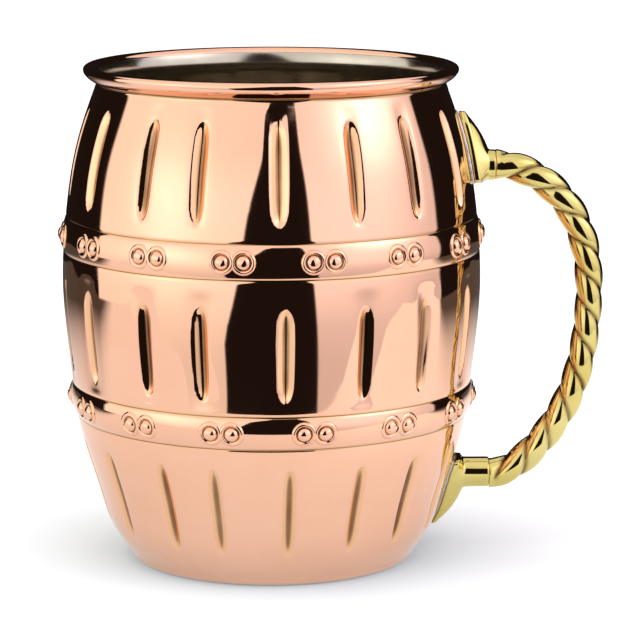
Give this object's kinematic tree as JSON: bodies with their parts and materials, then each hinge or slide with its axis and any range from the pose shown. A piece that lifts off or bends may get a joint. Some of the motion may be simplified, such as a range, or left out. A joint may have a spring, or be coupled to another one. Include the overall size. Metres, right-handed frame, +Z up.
{
  "type": "copper mug",
  "caption": "Barrel-shaped copper drinking mug with pressed hoops, stave grooves, rivet bosses, a rolled rim and a twisted brass handle.",
  "frame": {"origin": "centre of the flat base that the mug stands on", "axes": "+Z up along the barrel's axis, +X towards the handle, -Y is the side with the handle on the right"},
  "size_m": [0.1165, 0.091, 0.1057],
  "materials": {
    "copper": "mirror-polished copper, lacquered",
    "lining": "bright nickel lining, slightly brushed",
    "brass": "polished cast brass with darker hollows",
    "solder": "dull silver-grey solder"
  },
  "bodies": {
    "root": {"body_shell": "copper", "inner_lining": "lining", "rope_handle": "brass", "upper_lug": "brass", "lower_lug": "brass", "upper_solder": "solder", "lower_solder": "solder"}
  },
  "joints": []
}
